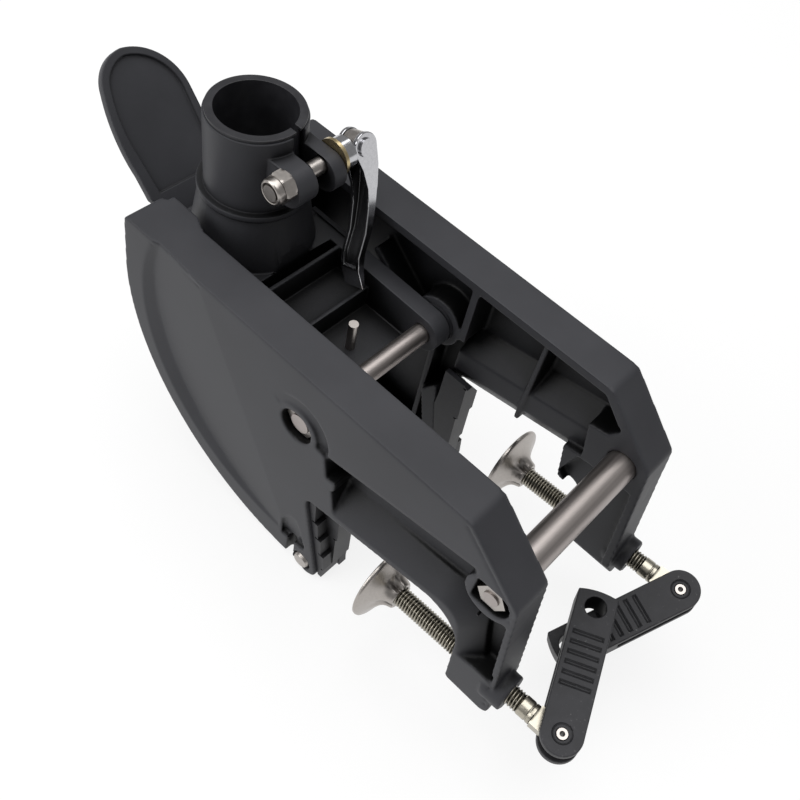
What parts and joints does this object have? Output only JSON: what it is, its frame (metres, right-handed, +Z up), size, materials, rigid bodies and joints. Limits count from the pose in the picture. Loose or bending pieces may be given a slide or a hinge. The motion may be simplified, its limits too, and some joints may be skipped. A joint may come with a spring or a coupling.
{
  "type": "trolling motor clamp bracket",
  "caption": "Tilting transom clamp bracket for an electric outboard, with a quick-release shaft collar, hooked side plates and screw clamps with folding handles.",
  "frame": {"origin": "axis of the collar bore, level with the top edges of the side plates", "axes": "+Z up along the collar bore, +X inboard towards the clamp handles, +Y to port"},
  "size_m": [0.289, 0.1116, 0.1604],
  "materials": {
    "casting": "powder coated satin",
    "stainless": "brushed",
    "screw_steel": "zinc plated",
    "nylon": "matt",
    "rubber_plastic": "matt",
    "handle_plastic": "matt",
    "brass": "turned",
    "chrome": "chrome plated"
  },
  "bodies": {
    "frame": {"starboard_plate": "casting", "port_plate": "casting", "crossbar": "stainless", "crossbar_washers": "stainless", "crossbar_nuts": "stainless", "pivot_bolt": "stainless", "pivot_nut": "stainless", "pivot_washers": "nylon", "starboard_jaw_pad": "rubber_plastic", "port_jaw_pad": "rubber_plastic", "pad_screws": "stainless"},
    "head": {"tilt_head": "casting", "collar_bush": "nylon", "clamp_nut": "stainless", "clamp_washer": "brass", "stop_pin": "stainless", "tilt_lever_pin": "stainless"},
    "clamp_bolt": {"clamp_eye_bolt": "stainless", "cam_saddle": "chrome", "cam_pin": "chrome"},
    "cam": {"cam_lever": "chrome"},
    "lever": {"tilt_lever": "casting", "lock_pin": "stainless"},
    "starboard_clamp": {"starboard_foot": "stainless"},
    "starboard_screw": {"starboard_clamp_screw": "screw_steel", "starboard_roll_pin": "stainless"},
    "starboard_grip": {"starboard_handle": "handle_plastic"},
    "port_clamp": {"port_foot": "stainless"},
    "port_screw": {"port_clamp_screw": "screw_steel", "port_roll_pin": "stainless"},
    "port_grip": {"port_handle": "handle_plastic"}
  },
  "joints": [
    {"name": "tilt", "type": "hinge", "parent": "frame", "child": "head", "pos_m": [0.0731, 0, -0.0306], "axis": [0, 1, 0], "range_deg": [0, 75]},
    {"name": "tilt_release", "type": "hinge", "parent": "head", "child": "lever", "pos_m": [-0.026, 0, -0.048], "axis": [0, -1, 0], "range_deg": [0, 20], "stiffness_Nm_per_rad": 0.3, "springref_deg": -14.32},
    {"name": "clamp_swivel", "type": "hinge", "parent": "head", "child": "clamp_bolt", "pos_m": [0.0253, 0, 0.0246], "axis": [0, 1, 0], "range_deg": [-140, 0]},
    {"name": "cam_open", "type": "hinge", "parent": "clamp_bolt", "child": "cam", "pos_m": [0.0253, 0.0242, 0.0246], "axis": [0.9336, 0, 0.3584], "range_deg": [0, 6]},
    {"name": "starboard_travel", "type": "slide", "parent": "frame", "child": "starboard_clamp", "axis": [0.9971, 0, 0.0767], "range_m": [-0.0025, 0.024]},
    {"name": "starboard_turn", "type": "hinge", "parent": "starboard_clamp", "child": "starboard_screw", "pos_m": [0.15982, -0.0393, -0.0853], "axis": [0.9971, 0, 0.0767], "range_deg": [0, 300]},
    {"name": "starboard_fold", "type": "hinge", "parent": "starboard_screw", "child": "starboard_grip", "pos_m": [0.20499, -0.0393, -0.08182], "axis": [-0.0761, -0.1305, 0.9885], "range_deg": [-230, 0]},
    {"name": "port_travel", "type": "slide", "parent": "frame", "child": "port_clamp", "axis": [0.9971, 0, 0.0767], "range_m": [-0.0025, 0.024]},
    {"name": "port_turn", "type": "hinge", "parent": "port_clamp", "child": "port_screw", "pos_m": [0.15982, 0.0393, -0.0853], "axis": [0.9971, 0, 0.0767], "range_deg": [0, 300]},
    {"name": "port_fold", "type": "hinge", "parent": "port_screw", "child": "port_grip", "pos_m": [0.20499, 0.0393, -0.08182], "axis": [0.0732, 0.3007, -0.9509], "range_deg": [-230, 0]}
  ]
}
